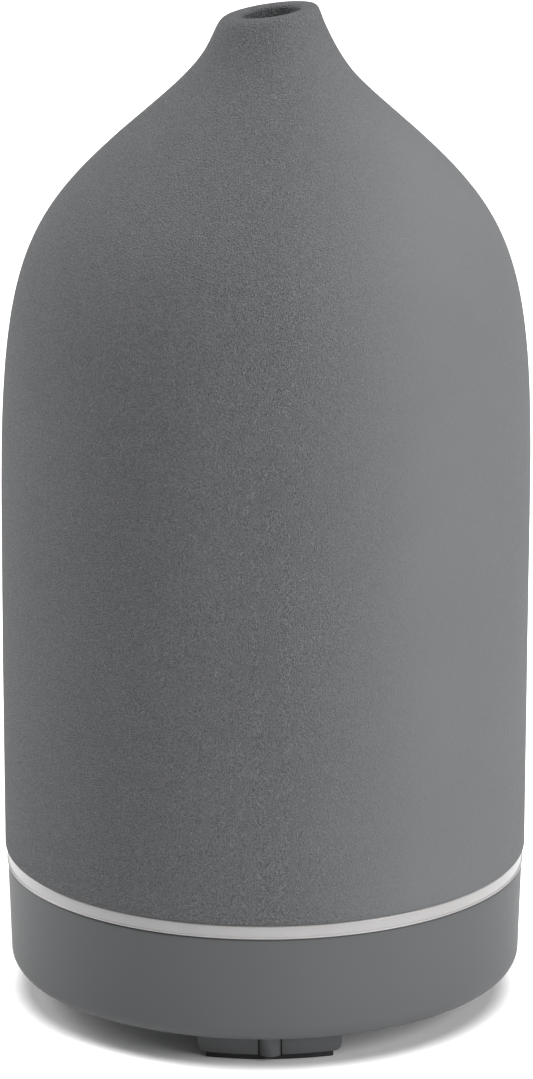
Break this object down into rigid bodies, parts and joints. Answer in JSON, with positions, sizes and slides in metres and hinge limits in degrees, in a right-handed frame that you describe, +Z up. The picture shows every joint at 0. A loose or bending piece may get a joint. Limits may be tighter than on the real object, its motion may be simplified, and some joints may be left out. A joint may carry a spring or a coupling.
{
  "type": "essential oil diffuser",
  "caption": "Ultrasonic essential oil diffuser: lift-off ceramic cover with a narrow slanted mouth over a lidded water tank, on a round base with a light ring, fan and two front buttons.",
  "frame": {"origin": "on the table, under the middle of the base", "axes": "+Z up through the mouth; -Y is the front, where the buttons are; the plug's inlet faces +Y"},
  "size_m": [0.0906, 0.0906, 0.173],
  "materials": {
    "stone_ceramic": "matte, fine stone texture",
    "grey_plastic": "satin",
    "milky_ring": "frosted, lets light through",
    "white_plastic": "smooth",
    "black_plastic": "smooth",
    "black_rubber": "matte",
    "silicone": "satin",
    "steel": "bright",
    "brass": "dull",
    "copper_winding": "enamelled wire",
    "magnet": "sintered",
    "circuit_board": "solder mask",
    "white_board": "white solder mask",
    "lamp": "phosphor",
    "aluminium": "extruded",
    "component_black": "moulded",
    "capacitor_sleeve": "shrunk sleeve",
    "piezo": "silvered",
    "red_lead": "insulation",
    "black_lead": "insulation",
    "white_lead": "insulation"
  },
  "bodies": {
    "base": {"water_tank": "white_plastic", "tank_chimney": "white_plastic", "duct_cap": "white_plastic", "tank_gasket": "silicone", "light_ring": "milky_ring", "led_board": "white_board", "leds": "lamp", "base_shell": "grey_plastic", "bottom_cover": "grey_plastic", "foot_pads": "black_rubber", "bottom_screws": "steel", "fan_frame": "black_plastic", "fan_stator": "copper_winding", "fan_bearing": "brass", "fan_screws": "steel", "air_duct": "black_plastic", "transducer_disc": "piezo", "transducer_seal": "silicone", "transducer_clamp": "steel", "transducer_screws": "steel", "control_board": "circuit_board", "board_screws": "steel", "controller_chip": "component_black", "inductors": "component_black", "capacitors": "capacitor_sleeve", "power_transistor": "component_black", "heat_sink": "aluminium", "lead_headers": "white_board", "button_board": "circuit_board", "button_switches": "component_black", "dc_jack": "black_plastic", "dc_pin": "steel", "transducer_leads": "red_lead", "fan_leads": "black_lead", "jack_leads": "red_lead", "button_leads": "white_lead", "led_leads": "white_lead"},
    "cover": {"ceramic_cover": "stone_ceramic"},
    "lid": {"tank_lid": "white_plastic", "splash_guard": "white_plastic"},
    "fan_rotor": {"fan_impeller": "black_plastic", "fan_magnet": "magnet"},
    "mist_key": {"mist_button": "grey_plastic", "mist_plunger": "white_board"},
    "light_key": {"light_button": "grey_plastic", "light_plunger": "white_board"}
  },
  "joints": [
    {"name": "cover_lift", "type": "slide", "parent": "base", "child": "cover", "axis": [0, 0, 1], "range_m": [0, 0.2]},
    {"name": "lid_lift", "type": "slide", "parent": "base", "child": "lid", "axis": [0, 0, 1], "range_m": [0, 0.06]},
    {"name": "fan_spin", "type": "hinge", "parent": "base", "child": "fan_rotor", "pos_m": [-0.023, 0, 0.01], "axis": [0, 0, 1], "continuous": true},
    {"name": "mist_press", "type": "slide", "parent": "base", "child": "mist_key", "axis": [0, 1, 0], "range_m": [0, 0.0005], "stiffness_N_per_m": 800},
    {"name": "light_press", "type": "slide", "parent": "base", "child": "light_key", "axis": [0, 1, 0], "range_m": [0, 0.0005], "stiffness_N_per_m": 800}
  ],
  "couplings": [
    {"joint": "lid_lift", "follows": "cover_lift", "ratio": 0.3}
  ]
}
